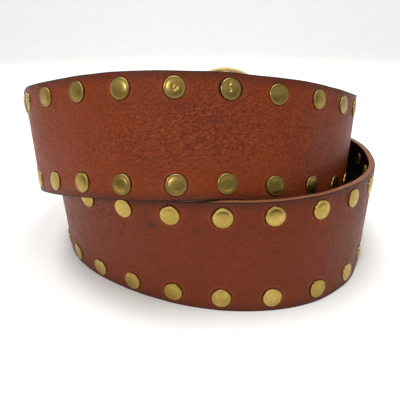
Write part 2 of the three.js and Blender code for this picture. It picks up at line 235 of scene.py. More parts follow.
def edit(obj, mode="VERT"):
    """Opens obj alone in edit mode, with nothing selected."""
    deselect_all()
    obj.select_set(True)
    bpy.context.view_layer.objects.active = obj
    bpy.ops.object.mode_set(mode="EDIT")
    bpy.ops.mesh.select_mode(type=mode)
    bpy.ops.mesh.select_all(action="DESELECT")


def done():
    bpy.ops.object.mode_set(mode="OBJECT")


def select_faces(obj, test):
    """In edit mode, selects the faces whose middle and normal pass the test."""
    bm = bmesh.from_edit_mesh(obj.data)
    for face in bm.faces:
        face.select_set(bool(test(face.calc_center_median(), face.normal)))
    bm.select_flush_mode()
    bmesh.update_edit_mesh(obj.data)


def select_edges(obj, test):
    """In edit mode, selects the edges whose two ends pass the test."""
    bm = bmesh.from_edit_mesh(obj.data)
    for edge in bm.edges:
        edge.select_set(bool(test(edge.verts[0].co, edge.verts[1].co)))
    bm.select_flush_mode()
    bmesh.update_edit_mesh(obj.data)


def apply_modifiers(obj):
    deselect_all()
    obj.select_set(True)
    bpy.context.view_layer.objects.active = obj
    for modifier in list(obj.modifiers):
        bpy.ops.object.modifier_apply(modifier=modifier.name)


def vertex_array(obj):
    points = np.empty(3 * len(obj.data.vertices))
    obj.data.vertices.foreach_get("co", points)
    return points.reshape(-1, 3)


def set_vertices(obj, points):
    obj.data.vertices.foreach_set("co", np.ascontiguousarray(points, dtype=float).ravel())
    obj.data.update()


def triangles(obj):
    return sum(len(polygon.vertices) - 2 for polygon in obj.data.polygons)


# %% Cut the strip
FOLD_LENGTH = 66.0
WRAP_LENGTH = math.pi * WRAP_RADIUS
TIP_LENGTH = 30.0
TIP_END_HALF = 5.0
CELL = 1.3  # mm, size of one face of the grid

strip_start = -(WRAP_LENGTH + FOLD_LENGTH)
strip_length = STRAP_LENGTH - strip_start
columns = round(strip_length / CELL)
rows = round(STRAP_WIDTH / CELL)
deselect_all()
bpy.ops.mesh.primitive_grid_add(x_subdivisions=columns, y_subdivisions=rows, size=1)
strap = bpy.context.object
strap.name = "strap_leather"
edit(strap)
bpy.ops.mesh.select_all(action="SELECT")
bpy.ops.transform.resize(value=(strip_length, STRAP_WIDTH, 1))
bpy.ops.transform.translate(value=(strip_start + strip_length / 2, 0, 0))
done()
print("strip", round(strip_length, 1), "x", STRAP_WIDTH, "mm,", columns, "x", rows, "faces")


# %% Round the tip
def half_width(length):
    """Half the strip's width: full along it, and an ellipse down to a short blunt end."""
    into_tip = np.clip((length - (STRAP_LENGTH - TIP_LENGTH)) / TIP_LENGTH, 0, 1)
    full = STRAP_WIDTH / 2
    return TIP_END_HALF + (full - TIP_END_HALF) * np.sqrt(1 - into_tip ** 2)


flat = vertex_array(strap)
tip_columns = np.unique(np.round(flat[flat[:, 0] > STRAP_LENGTH - TIP_LENGTH, 0], 3))
edit(strap)
for column in tip_columns:
    bm = bmesh.from_edit_mesh(strap.data)
    bm.verts.ensure_lookup_table()
    for vertex in bm.verts:
        vertex.select_set(abs(vertex.co.x - column) < 0.01)
    bm.select_flush_mode()
    bmesh.update_edit_mesh(strap.data)
    scale = float(half_width(column)) / (STRAP_WIDTH / 2)
    bpy.ops.transform.resize(value=(1, scale, 1), center_override=(column, 0, 0))
done()
print("tip rounded in", len(tip_columns), "columns")

# %% Give the leather its thickness and soften its edges
EDGE_ROUNDING = 0.55
thicken = strap.modifiers.new("thickness", "SOLIDIFY")
thicken.thickness = STRAP_THICKNESS
thicken.offset = 0
soften = strap.modifiers.new("soft edges", "BEVEL")
soften.width = EDGE_ROUNDING
soften.segments = 3
soften.limit_method = "ANGLE"
apply_modifiers(strap)
print("strap", triangles(strap), "triangles")

# %% [markdown]
# The holes are punched while the strip is flat: one for each rivet's post, five for the tongue near
# the tip, and the long slot that lets the tongue through at the bar. One object holds all the
# punches and one Boolean modifier takes them away.

# %% Punch the holes
POST_HOLE_RADIUS = 1.6
TIP_HOLE_RADIUS = 2.25
TIP_HOLES = STRAP_LENGTH - 80 - 25 * np.arange(5)
SLOT_HALF_LENGTH = 13.0
SLOT_HALF_WIDTH = 3.2
slot_middle = -WRAP_LENGTH / 2  # the slot is cut evenly about the bar

deselect_all()
punches = []
for length, across, radius, sides in (
        [(length, across, POST_HOLE_RADIUS, 12) for _, length, across in studs]
        + [(length, 0, TIP_HOLE_RADIUS, 32) for length in TIP_HOLES]):
    bpy.ops.mesh.primitive_cylinder_add(
        vertices=sides, radius=radius, depth=3 * STRAP_THICKNESS, location=(length, across, 0))
    punches.append(bpy.context.object)
slot_ends = SLOT_HALF_LENGTH + WRAP_LENGTH / 2
bpy.ops.mesh.primitive_cylinder_add(
    vertices=24, radius=SLOT_HALF_WIDTH, depth=3 * STRAP_THICKNESS, location=(0, 0, 0))
slot = bpy.context.object
edit(slot)
for end in (-1, 1):
    select_edges(slot, lambda a, b: a.x * end > 1e-4 and b.x * end > 1e-4)
    bpy.ops.transform.translate(value=(end * (slot_ends - SLOT_HALF_WIDTH), 0, 0))
    bpy.ops.mesh.select_all(action="DESELECT")
bpy.ops.mesh.select_all(action="SELECT")
bpy.ops.transform.translate(value=(slot_middle, 0, 0))
done()
punches.append(slot)
deselect_all()
for punch in punches:
    punch.select_set(True)
bpy.context.view_layer.objects.active = slot
bpy.ops.object.join()
cut = strap.modifiers.new("punches", "BOOLEAN")
cut.operation = "DIFFERENCE"
cut.solver = "EXACT"
cut.object = slot
apply_modifiers(strap)
bpy.data.objects.remove(slot)
print("punched strap", triangles(strap), "triangles")

# %% [markdown]
# ## What the leather remembers
# Before rolling, each point of the strip keeps a note of where it lies on the flat leather. The
# materials read these notes, so grain and stains stick to the leather as it bends:
# - `flat` is the place along, across and through the strip, in mm
# - `edge` is the distance to the nearest cut edge
# - `stud` is the distance to the middle of the nearest rivet
# - `crease` says how strongly the leather is wrinkled, from 0 to 1
# - `smudge` says where a dark mark lies, from 0 to 1
# Wrinkles and marks could be painted on a picture, but a few listed soft spots are enough.

# %% Write the notes
flat = vertex_array(strap)
length, across, depth = flat.T
edge_distance = half_width(length) - abs(across)
edge_distance = np.minimum(edge_distance, STRAP_LENGTH - length)
edge_distance = np.minimum(edge_distance, length - strip_start)
for hole in TIP_HOLES:
    edge_distance = np.minimum(edge_distance, np.hypot(length - hole, across) - TIP_HOLE_RADIUS)
nearest_pair = FIRST_STUD + STUD_PITCH * np.clip(
    np.round((length - FIRST_STUD) / STUD_PITCH), 0, pair_count - 1)
stud_distance = np.hypot(length - nearest_pair, abs(across) - STUD_ROW)


def spot(at_length, at_across, reach_along, reach_across):
    """A soft round patch on the flat strip, 1 in its middle and 0 well outside."""
    return np.exp(-((length - at_length) / reach_along) ** 2
                  - ((across - at_across) / reach_across) ** 2)


# Each spot: strength, place along and across, reach along and across, in mm
CREASED_SPOTS = ((0.95, 315, 4, 30, 15), (0.7, 738, 10, 10, 12), (0.6, 272, 0, 34, 18),
                 (0.45, 350, 0, 22, 16), (0.15, 780, 6, 40, 18))
CREASED_ANYWHERE = 0.12
SMUDGES = ((0.85, 757.5, 12, 2.2, 1.3), (0.38, 756, 17, 2.4, 4), (0.7, 775.5, 12, 1.6, 1.8),
           (0.3, 791, 11, 3, 2), (0.55, 806, 2.5, 2.4, 1.4), (0.35, 799, 10, 8, 0.8),
           (0.25, 818, -11, 2.5, 1.5), (0.25, 862, 8, 3, 4))
crease = np.clip(sum(strength * spot(*place) for strength, *place in CREASED_SPOTS)
                 + CREASED_ANYWHERE, 0, 1)
smudge = np.clip(sum(strength * spot(*place) for strength, *place in SMUDGES), 0, 1)


def note(obj, name, values):
    layer = obj.data.attributes.new(name, "FLOAT", "POINT")
    layer.data.foreach_set("value", np.ascontiguousarray(values, dtype=np.float32))


flat_layer = strap.data.attributes.new("flat", "FLOAT_VECTOR", "POINT")
flat_layer.data.foreach_set("vector", flat.astype(np.float32).ravel())
for name, values in (("edge", edge_distance), ("stud", stud_distance),
                     ("crease", crease), ("smudge", smudge)):
    note(strap, name, values)
print("creased share", round(float(crease.mean()), 3), "smudged share",
      round(float(smudge.mean()), 4))

# %% [markdown]
# ## Rolling it up
# Each flat point now goes to its place on the coil. Its distance along the strip picks a place on
# the line, its distance across goes along the up direction, and its depth goes out of the face.
# Blender's Curve modifier could carry the strip too, but here the same line has to serve the strap,
# the rivets and the buckle, so the points are moved by the one function that knows it.
# Real leather is never perfectly even, so the strip also waves a little, its edges swell and dip in
# a few places, and the surface dips where the rivets squeeze it. The wrinkles are too fine to model
# and come with the finish.

# %% Shape of the worn surface
rng = np.random.default_rng(11)
BODY_WAVE = 0.22
EDGE_WAVE = 0.12
PRESS_DEPTH = 0.12
PRESS_REACH = (4.0, 5.6)  # mm from the middle of a rivet, where the dip is deepest and where it ends
# Each swelling of an edge: place along the strip, reach along it, and height, in mm
UPPER_EDGE = ((322, 9, 0.5), (293, 6, -0.2), (786, 7, 0.25))
LOWER_EDGE = ((304, 7, -0.2),)


def waves(values, longest, count, seed_rng):
    """A smooth uneven wave along one direction, from -1 to 1, as a sum of sines."""
    total = np.zeros_like(values)
    weight = 0.0
    for k in range(count):
        size = longest / (1 + 0.7 * k)
        total += np.sin(2 * np.pi * values / size + seed_rng.uniform(0, 2 * np.pi)) / (1 + k)
        weight += 1 / (1 + k)
    return total / weight


def swellings(places):
    return sum(height * np.exp(-((length - at) / reach) ** 2) for at, reach, height in places)


def smoothstep(values, low, high):
    t = np.clip((values - low) / (high - low), 0, 1)
    return t * t * (3 - 2 * t)


body_wave = BODY_WAVE * waves(length, 61, 4, rng)
body_wave *= 0.5 + 0.5 * waves(across + 0.31 * length, 47, 3, rng)
body_wave *= np.clip((stud_distance - CAP_RADIUS) / 5, 0, 1)  # it lies even under the caps
upper_share = np.clip(across / (STRAP_WIDTH / 2), 0, 1)
lower_share = np.clip(-across / (STRAP_WIDTH / 2), 0, 1)
edge_ripple = (EDGE_WAVE * waves(length, 43, 5, rng) + swellings(UPPER_EDGE)) * upper_share ** 3
edge_ripple += swellings(LOWER_EDGE) * lower_share ** 3
press = PRESS_DEPTH * (1 - smoothstep(stud_distance, *PRESS_REACH))
faces_out = np.clip(depth / (STRAP_THICKNESS / 2), -1, 1)
face_move = body_wave - press * np.clip(faces_out, 0, 1) + 0.5 * press * np.clip(-faces_out, 0, 1)
print("face moves by", face_move.min().round(2), "to", face_move.max().round(2), "mm, edges by",
      edge_ripple.min().round(2), "to", edge_ripple.max().round(2), "mm")

# %% Roll the strip onto the coil
FOLD_TAPER = 20.0
FOLD_GAP = 0.3


def roll(length, across, depth):
    """Flat points in mm to places on the rolled belt, in metres."""
    main_length = np.where(length >= 0, length, np.clip(-length - WRAP_LENGTH, 0, None))
    middle, along, up, out = place_at_length(main_length)
    folded = (length < -WRAP_LENGTH)[:, None]
    behind = 2 * WRAP_RADIUS + (STRAP_THICKNESS + FOLD_GAP - 2 * WRAP_RADIUS) * smoothstep(
        main_length, 0, FOLD_TAPER)
    middle = np.where(folded, middle - out * behind[:, None], middle)
    out = np.where(folded, -out, out)
    wrapped = ((length < 0) & (length >= -WRAP_LENGTH))[:, None]
    angle = (-length / WRAP_RADIUS)[:, None]
    turned = out * np.cos(angle) - along * np.sin(angle)
    bar_middle = middle - out * WRAP_RADIUS
    middle = np.where(wrapped, bar_middle + turned * WRAP_RADIUS, middle)
    out = np.where(wrapped, turned, out)
    points = middle + up * across[:, None] + out * depth[:, None]
    points[:, 2] = np.clip(points[:, 2], 0, None)
    return points * MM


set_vertices(strap, roll(length, across + edge_ripple, depth + face_move))
uv = strap.data.uv_layers.new(name="strip")
corner_vertex = np.empty(len(strap.data.loops), dtype=np.int32)
strap.data.loops.foreach_get("vertex_index", corner_vertex)
uv.data.foreach_set("uv", (flat[corner_vertex, :2] / STRAP_LENGTH).astype(np.float32).ravel())
deselect_all()
strap.select_set(True)
bpy.context.view_layer.objects.active = strap
bpy.ops.object.shade_smooth_by_angle(angle=math.radians(40))
rolled = vertex_array(strap) / MM
print("rolled strap, mm:", rolled.min(0).round(1), rolled.max(0).round(1))

# %% [markdown]
# ## A small kit for materials
# A material is a tree of nodes. Written out one node at a time it is long, so a small class adds a
# node, sets or links its inputs, and gives back its output. Each finish below then reads like a
# recipe. Places come from the strap's own notes, or from Object coordinates for the metal.

class Finish:
    def __init__(self, name):
        self.material = bpy.data.materials.new(name)
        self.material.use_nodes = True
        self.tree = self.material.node_tree
        self.shader = self.tree.nodes["Principled BSDF"]

    def put(self, socket, value):
        if isinstance(value, bpy.types.NodeSocket):
            self.tree.links.new(value, socket)
        else:
            socket.default_value = value

    def node(self, kind, inputs, output=0, **settings):
        node = self.tree.nodes.new(kind)
        for key, value in settings.items():
            setattr(node, key, value)
        for socket, value in inputs.items():
            self.put(node.inputs[socket], value)
        return node.outputs[output]

    def note(self, name, output="Fac"):
        return self.node("ShaderNodeAttribute", {}, output, attribute_name=name)

    def maths(self, operation, a, b=0.0):
        return self.node("ShaderNodeMath", {0: a, 1: b}, operation=operation)

    def ease(self, value, low, high, start=0.0, end=1.0):
        """Goes smoothly from start to end as value goes from low to high."""
        return self.node("ShaderNodeMapRange", {"Value": value, "From Min": low, "From Max": high,
                                                "To Min": start, "To Max": end},
                         interpolation_type="SMOOTHSTEP")

    def stretch(self, vector, scale, turn=0.0):
        return self.node("ShaderNodeMapping", {"Vector": vector, "Scale": scale,
                                               "Rotation": (0, 0, turn)})

    def noise(self, vector, scale, detail=3.0, roughness=0.5, distortion=0.0):
        return self.node("ShaderNodeTexNoise", {
            "Vector": vector, "Scale": scale, "Detail": detail, "Roughness": roughness,
            "Distortion": distortion}, "Fac")

    def cells(self, vector, scale, feature="F1"):
        return self.node("ShaderNodeTexVoronoi", {"Vector": vector, "Scale": scale},
                         "Distance", feature=feature)

    def blend(self, share, first, second):
        node = self.tree.nodes.new("ShaderNodeMix")
        node.data_type = "RGBA"
        self.put(node.inputs[0], share)
        self.put(node.inputs[6], first)
        self.put(node.inputs[7], second)
        return node.outputs[2]

    def bump(self, height, distance, strength=1.0, normal=None):
        inputs = {"Height": height, "Distance": distance, "Strength": strength}
        if normal is not None:
            inputs["Normal"] = normal
        return self.node("ShaderNodeBump", inputs, "Normal")

    def finish(self, **sockets):
        for name, value in sockets.items():
            self.put(self.shader.inputs[name.replace("_", " ")], value)
        return self.material


def colour(red, green, blue):
    return (red, green, blue, 1)


# %% [markdown]
# ## The leather
# The grain side is a satin reddish brown. A picture of leather could be laid on it, but it would
# stretch and show its seams on a strap this long, so the finish is mixed from noises that read the
# strap's notes. It has several layers: slow patches of lighter and darker dye, a fine pebble of
# pores, and short slanting wrinkles where the leather was bent, with painted shade in their valleys
# and painted highlights on their crests. The outer turn is painted a little darker, as painted shade
# for the lower light it gets. Then come dark smudges, a dark ring of painted shade round each cap
# where it presses in, with a thin painted highlight just outside it, a soft darker band towards the
# edges and a thin burnished line along them. The flesh side is dull and almost black: its dark
# leather colour is darkened further as painted shade for the inside of the coil. The cut edge shows
# paler, fibrous leather. The `flat` note's depth tells the three apart. The bump's height is in mm,
# and its distance is 1 mm, so the grain has its real depth.

# %% Leather
leather = Finish("leather")
flat_place = leather.note("flat", "Vector")
through = leather.node("ShaderNodeSeparateXYZ", {"Vector": flat_place}, "Z")
along_strip = leather.node("ShaderNodeSeparateXYZ", {"Vector": flat_place}, "X")
edge = leather.note("edge")
to_stud = leather.note("stud")
creased = leather.note("crease")
smudged = leather.note("smudge")

pebble = leather.cells(leather.stretch(flat_place, (0.85, 1.0, 1.0), 0.4), 1.05, "SMOOTH_F1")
fine = leather.noise(flat_place, 2.6, 3, 0.6)


def wrinkle_net(turn, seed_shift):
    """Short fine wrinkles that run at a slant: 0 in a valley, 1 on a crest."""
    slant = leather.stretch(leather.stretch(flat_place, (1, 1, 1), turn), (0.75, 1.95, 0.5))
    run = leather.noise(leather.node("ShaderNodeVectorMath", {0: slant, 1: seed_shift},
                                     operation="ADD"), 1.0, 2, 0.5, 0.5)
    return leather.ease(run, 0.36, 0.64)


rising = wrinkle_net(-0.45, (0, 0, 0))
falling = wrinkle_net(0.75, (40, 7, 0))
outer_turn_painted_shade = leather.ease(along_strip, 430, 620)
past_bend = leather.ease(along_strip, 300, 345, 0.15, 0.9)  # the wrinkles turn over here
ridges = leather.node("ShaderNodeMix", {0: past_bend, 2: rising, 3: falling})

patches = leather.noise(flat_place, 0.035, 4, 0.6)
mottle = leather.noise(flat_place, 0.28, 5, 0.65)
speckle = leather.noise(flat_place, 1.6, 3, 0.6)
grain = leather.blend(leather.ease(patches, 0.3, 0.7), colour(0.190, 0.0270, 0.0032),
                      colour(0.222, 0.0325, 0.0040))
grain = leather.blend(leather.ease(mottle, 0.35, 0.75, 0, 0.35), grain,
                      colour(0.128, 0.020, 0.0040))
grain = leather.blend(leather.ease(speckle, 0.45, 0.8, 0, 0.3), grain,
                      colour(0.285, 0.058, 0.011))
scuffs = leather.noise(leather.stretch(flat_place, (0.05, 0.5, 0.3), 0.35), 1.0, 3, 0.7, 0.6)
grain = leather.blend(leather.ease(scuffs, 0.62, 0.8, 0, 0.2), grain,
                      colour(0.07, 0.016, 0.008))
# Painted shade: the outer turn is darkened for the lower light it gets
grain = leather.blend(leather.maths("MULTIPLY", outer_turn_painted_shade, 0.30), grain,
                      colour(0.060, 0.013, 0.005))
# Painted shade in the wrinkles' valleys, then a painted highlight on their crests, both where creased
wrinkle_painted_shade = leather.maths("MULTIPLY", creased, leather.ease(ridges, 0, 0.55, 0.85, 0))
grain = leather.blend(wrinkle_painted_shade, grain, colour(0.095, 0.014, 0.003))
wrinkle_painted_highlight = leather.maths("MULTIPLY", creased, leather.ease(ridges, 0.45, 1, 0, 0.6))
grain = leather.blend(wrinkle_painted_highlight, grain, colour(0.360, 0.062, 0.009))
pores = leather.ease(pebble, 0.28, 0.52, 0, 0.16)
grain = leather.blend(pores, grain, colour(0.095, 0.017, 0.004))
dirt = leather.maths("MULTIPLY", smudged, leather.ease(leather.noise(
    flat_place, 0.9, 4, 0.8), 0.25, 0.62))
grain = leather.blend(leather.ease(dirt, 0.05, 0.6, 0, 0.8), grain, colour(0.045, 0.017, 0.010))

# Painted shade: a dark ring where each cap's rim meets the leather
cap_rim_painted_shade = leather.ease(to_stud, 4.05, 4.45, 0.92, 0)
grain = leather.blend(cap_rim_painted_shade, grain, colour(0.018, 0.007, 0.006))
# Painted highlight: a thin lighter ring on the pressed leather just outside each cap
cap_painted_highlight = leather.maths("MULTIPLY", leather.ease(to_stud, 4.5, 4.8), leather.ease(
    to_stud, 4.9, 5.8, 0.35, 0))
grain = leather.blend(cap_painted_highlight, grain, colour(0.29, 0.060, 0.014))
near_edge = leather.ease(edge, 0.6, 4.6, 0.74, 0)
grain = leather.blend(near_edge, grain, colour(0.085, 0.019, 0.007))
burnish_noise = leather.noise(flat_place, 0.5, 3, 0.6)
burnish_width = leather.ease(burnish_noise, 0.3, 0.7, 0.42, 0.62)
burnished = leather.ease(leather.maths("DIVIDE", edge, burnish_width), 0.55, 1.0, 0.9, 0)
grain = leather.blend(burnished, grain, colour(0.022, 0.009, 0.006))

fibres = leather.noise(leather.stretch(flat_place, (0.12, 0.9, 2.4)), 1.0, 5, 0.75)
cut_colour = leather.blend(leather.ease(fibres, 0.3, 0.7), colour(0.13, 0.042, 0.018),
                           colour(0.29, 0.115, 0.052))
flesh_noise = leather.noise(flat_place, 1.1, 5, 0.75, 0.8)
# The flesh side's dark colour, darkened further, almost to black, as painted shade for the coil's
# inside
flesh_and_painted_shade = leather.blend(leather.ease(flesh_noise, 0.25, 0.75), colour(0.0036, 0.0013, 0.0010),
                      colour(0.0100, 0.0034, 0.0021))
rim_share = leather.maths("MULTIPLY", leather.ease(edge, 0.02, 0.35, 1, 0),
                          leather.ease(leather.maths("ABSOLUTE", through), 1.0, 1.38, 1, 0))
flesh_share = leather.ease(through, -1.2, -0.9, 1, 0)
surface = leather.blend(flesh_share, grain, flesh_and_painted_shade)
surface = leather.blend(rim_share, surface, cut_colour)

height = leather.maths("MULTIPLY", pebble, 0.34)
height = leather.maths("ADD", height, leather.maths("MULTIPLY", fine, 0.12))
height = leather.maths("ADD", height, leather.maths("MULTIPLY", leather.maths(
    "MULTIPLY", ridges, creased), 0.22))
height = leather.maths("ADD", height, leather.maths("MULTIPLY", mottle, 0.10))
height = leather.maths("ADD", height, leather.maths("MULTIPLY", leather.maths(
    "MULTIPLY", flesh_noise, flesh_share), 0.3))
leather_normal = leather.bump(height, 1.0 * MM, 0.9)
roughness = leather.ease(mottle, 0.3, 0.75, 0.42, 0.56)
shine = leather.ease(flesh_share, 0, 1, 0.18, 0.03)
roughness = leather.maths("ADD", roughness, leather.maths("MULTIPLY", flesh_share, 0.3))
leather_finish = leather.finish(Base_Color=surface, Roughness=roughness,
                                Specular_IOR_Level=shine, Normal=leather_normal)
strap.data.materials.clear()
strap.data.materials.append(leather_finish)
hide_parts("strap")
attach(strap, "root")
print("leather nodes:", len(leather.tree.nodes))

# %% [markdown]
# ## Old brass
# The rivets and the buckle are brass that has gone olive in places. One plain metal colour would
# make every cap alike, so the finish mixes three tones: bright where the metal is rubbed, dull, and
# tarnished. Slow noise changes the tone from one rivet to the next, finer noise makes specks, and a
# shallow bump keeps the caps from looking printed. Each rivet also carries a note that pulls it
# towards the tarnish tone and makes it rougher, partly as tarnish and partly as painted shade: the
# backs inside the coil are painted almost as dark as the tarnish, as painted shade for the dark
# inside of the coil, and the rivets of the upper turn are painted duller than those of the lower
# one, as painted shade for the dim room that their caps mirror.

# %% Brass
def brass(name, bright, dull, tarnish, low, high, metallic=1.0):
    metal = Finish(name)
    here = metal.node("ShaderNodeTexCoord", {}, "Object")
    slow = metal.noise(here, 95, 2, 0.5)
    clouds = metal.noise(here, 420, 4, 0.6)
    specks = metal.noise(here, 1900, 3, 0.65)
    tone = metal.blend(metal.ease(slow, 0.35, 0.65), bright, dull)
    tone = metal.blend(metal.ease(clouds, 0.42, 0.72, 0, 0.6), tone, dull)
    tone = metal.blend(metal.ease(specks, 0.56, 0.74, 0, 0.55), tone, tarnish)
    # This note pulls the metal towards the tarnish tone: partly tarnish, partly painted shade
    tarnish_and_painted_shade = metal.note("tarnish_and_painted_shade")
    tone = metal.blend(tarnish_and_painted_shade, tone, tarnish)
    roughness = metal.maths("ADD", metal.ease(clouds, 0.3, 0.7, low, high),
                            metal.maths("MULTIPLY", tarnish_and_painted_shade, 0.2))
    height = metal.maths("ADD", metal.maths("MULTIPLY", clouds, 0.06),
                         metal.maths("MULTIPLY", specks, 0.022))
    return metal.finish(Base_Color=tone, Metallic=metallic, Roughness=roughness,
                        Normal=metal.bump(height, 0.35 * MM, 0.7))


stud_brass = brass("stud_brass", colour(0.60, 0.425, 0.120), colour(0.42, 0.288, 0.066),
                   colour(0.14, 0.090, 0.026), 0.20, 0.32)
buckle_brass = brass("buckle_brass", colour(0.64, 0.49, 0.24), colour(0.56, 0.42, 0.20),
                     colour(0.36, 0.27, 0.13), 0.55, 0.68, 0.7)

# %% [markdown]
# ## A cap rivet
# Each rivet is a thin cap with a rounded rim and a low dome, a post through the leather and a small
# round back. It could be spun from an outline, but insets are quicker to change. A cylinder's rim is
# bevelled, and its top is inset in steps: sunk a little, so that the rim stands up as a fine ridge,
# then raised into the dome. The underside is drawn down into the post and out into the back. The
# rivet is then copied to every place, with its own mesh, a turn about its own axis and a tiny tilt,
# so that no two catch the light the same way. One rivet has the round dimple of its setting tool,
# and one has two small dents.

# %% Model one rivet
CAP_HEIGHT = 0.62
CAP_SEAT = 1.56  # the cap's underside, from the middle of the leather
CAP_ROUNDING = 0.34
POST_RADIUS = 1.35
BACK_RADIUS = 3.0
BACK_HEIGHT = 0.7
# Steps of (inset, sink) from the rim inwards, in mm: a fine ridge, then the dome
DOME_STEPS = [(0.14, 0.0), (0.2, 0.06), (0.5, -0.14), (0.6, -0.12), (0.6, -0.07)]
DIMPLE_STEPS = [(0.35, 0.0), (0.25, 0.2), (0.28, 0.1), (0.2, -0.16)]
BACK_STEPS = [(0.35, 0.12), (1.2, -0.25)]  # inset and drop: a rounded rim and a hollow


def model_rivet(name, dimple=()):
    """dimple holds more steps of (inset, sink), taken on the middle of the dome."""
    deselect_all()
    bpy.ops.mesh.primitive_cylinder_add(
        vertices=32, radius=CAP_RADIUS, depth=CAP_HEIGHT,
        location=(0, 0, CAP_SEAT + CAP_HEIGHT / 2))
    rivet = bpy.context.object
    rivet.name = name
    bpy.ops.object.transform_apply(location=True)
    edit(rivet, "EDGE")
    top = CAP_SEAT + CAP_HEIGHT
    select_edges(rivet, lambda a, b: a.z > top - 0.01 and b.z > top - 0.01)
    bpy.ops.mesh.bevel(offset=CAP_ROUNDING, segments=4, affect="EDGES")
    bpy.ops.mesh.select_mode(type="FACE")
    select_faces(rivet, lambda c, n: n.z > 0.99 and math.hypot(c.x, c.y) < 0.1)
    for inset, sink in DOME_STEPS + list(dimple):
        bpy.ops.mesh.inset(thickness=inset, depth=0)
        bpy.ops.transform.translate(value=(0, 0, -sink))
    bpy.ops.mesh.select_all(action="DESELECT")
    select_faces(rivet, lambda c, n: n.z < -0.99)
    bpy.ops.mesh.inset(thickness=CAP_RADIUS - POST_RADIUS, depth=0)
    back_seat = -CAP_SEAT
    bpy.ops.mesh.extrude_region_move(
        TRANSFORM_OT_translate={"value": (0, 0, back_seat - CAP_SEAT)})
    bpy.ops.mesh.extrude_region_move(TRANSFORM_OT_translate={"value": (0, 0, 0)})
    flange = BACK_RADIUS / POST_RADIUS
    bpy.ops.transform.resize(value=(flange, flange, 1), center_override=(0, 0, back_seat))
    bpy.ops.mesh.extrude_region_move(
        TRANSFORM_OT_translate={"value": (0, 0, -BACK_HEIGHT)})
    for inset, drop in BACK_STEPS:
        bpy.ops.mesh.inset(thickness=inset, depth=0)
        bpy.ops.transform.translate(value=(0, 0, -drop))
    bpy.ops.mesh.select_all(action="SELECT")
    bpy.ops.mesh.normals_make_consistent(inside=False)
    done()
    bpy.ops.object.shade_smooth_by_angle(angle=math.radians(50))
    rivet.data.materials.append(stud_brass)
    return rivet


plain_rivet = model_rivet("plain_rivet")
dimpled_rivet = model_rivet("dimpled_rivet", DIMPLE_STEPS)
dented_rivet = model_rivet("dented_rivet")

# %% Dent one rivet
# Two small dents, where a tool slipped: a ball is cut out of the dome for each
DENT_RADIUS = 1.2
DENTS = ((-0.7, 2.1, 0.72), (-0.5, -0.4, 0.88))  # place and height of the ball over the dome
dome_top = float(vertex_array(dented_rivet)[:, 2].max())
for dent_x, dent_y, rise in DENTS:
    deselect_all()
    bpy.ops.mesh.primitive_uv_sphere_add(
        segments=24, ring_count=16, radius=DENT_RADIUS, location=(dent_x, dent_y, dome_top + rise))
    ball = bpy.context.object
    dent = dented_rivet.modifiers.new("dent", "BOOLEAN")
    dent.operation = "DIFFERENCE"
    dent.solver = "EXACT"
    dent.object = ball
    apply_modifiers(dented_rivet)
    bpy.data.objects.remove(ball)
print("one rivet:", triangles(plain_rivet), "triangles, dented:", triangles(dented_rivet))


# %% Set the rivets
def to_place(obj, name, matrix):
    """A copy of obj with its own mesh, taken from mm at the origin to its place in metres."""
    copy = obj.copy()
    copy.data = obj.data.copy()
    copy.name = copy.data.name = name
    copy.data.transform(matrix @ Matrix.Scale(MM, 4))
    copy.data.update()
    bpy.context.scene.collection.objects.link(copy)
    return copy


UPPER_END = 500.0  # mm along the strap, where its upper turn gives way to the lower one
# Shares of the rivets' darkening note, partly tarnish and partly painted shade: the upper turn's
# rivets are painted darker than the lower ones
UPPER_TARNISH_AND_SHADE = 0.38
LOWER_TARNISH_AND_SHADE = 0.2
# Painted shade: the rivet backs inside the coil are painted nearly as dark as the tarnish tone
BACK_PAINTED_SHADE = 0.97
far_studs = {"top": [], "bottom": []}
for number, (name, length_along, across_strap) in enumerate(studs):
    own_turn = rng.uniform(0, 2 * math.pi)
    tilt_axis = Vector((math.cos(own_turn), math.sin(own_turn), 0))
    tilt = Matrix.Rotation(math.radians(rng.uniform(0.3, 1.6)), 4, tilt_axis)
    rivet = {"stud_upper_top_5": dimpled_rivet, "stud_upper_top_6": dented_rivet}.get(
        name, plain_rivet)
    spin = Matrix.Rotation(0 if rivet is dented_rivet else own_turn, 4, "Z")
    matrix = stud_matrix(length_along, across_strap) @ tilt @ spin
    on_upper = length_along < UPPER_END
    row = "top" if across_strap > 0 else "bottom"
    piece = to_place(rivet, name.replace("stud", "rivet") if name else f"far_{number}", matrix)
    backs = vertex_array(rivet)[:, 2] < 0
    note(piece, "tarnish_and_painted_shade", np.where(backs, BACK_PAINTED_SHADE, UPPER_TARNISH_AND_SHADE if on_upper else LOWER_TARNISH_AND_SHADE))
    if name:
        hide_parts(name)
        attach(piece, "root")
    else:
        far_studs[row].append(piece)
for row, pieces in far_studs.items():
    deselect_all()
    for piece in pieces:
        piece.select_set(True)
    bpy.context.view_layer.objects.active = pieces[0]
    bpy.ops.object.join()
    far = bpy.context.object
    far.name = far.data.name = f"rivets_far_{row}"
    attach(far, "root")
    print(far.name, triangles(far), "triangles,", len(pieces), "rivets")
for model in (plain_rivet, dimpled_rivet, dented_rivet):
    bpy.data.objects.remove(model)

# %% [markdown]
# ## The buckle
# The buckle is a round frame with a bar across its middle, held a little behind the rim on two
# lugs. A torus would be the quickest rim, but a real one is wider than it is thick, so a rounded
# section is spun round the buckle's axis. The bar and lugs are joined to it with a Boolean union,
# so that the frame is one casting. All of it is modelled at the origin, with X along the strap, Y up
# and Z out, and then carried to the bar's place at the start of the strap.

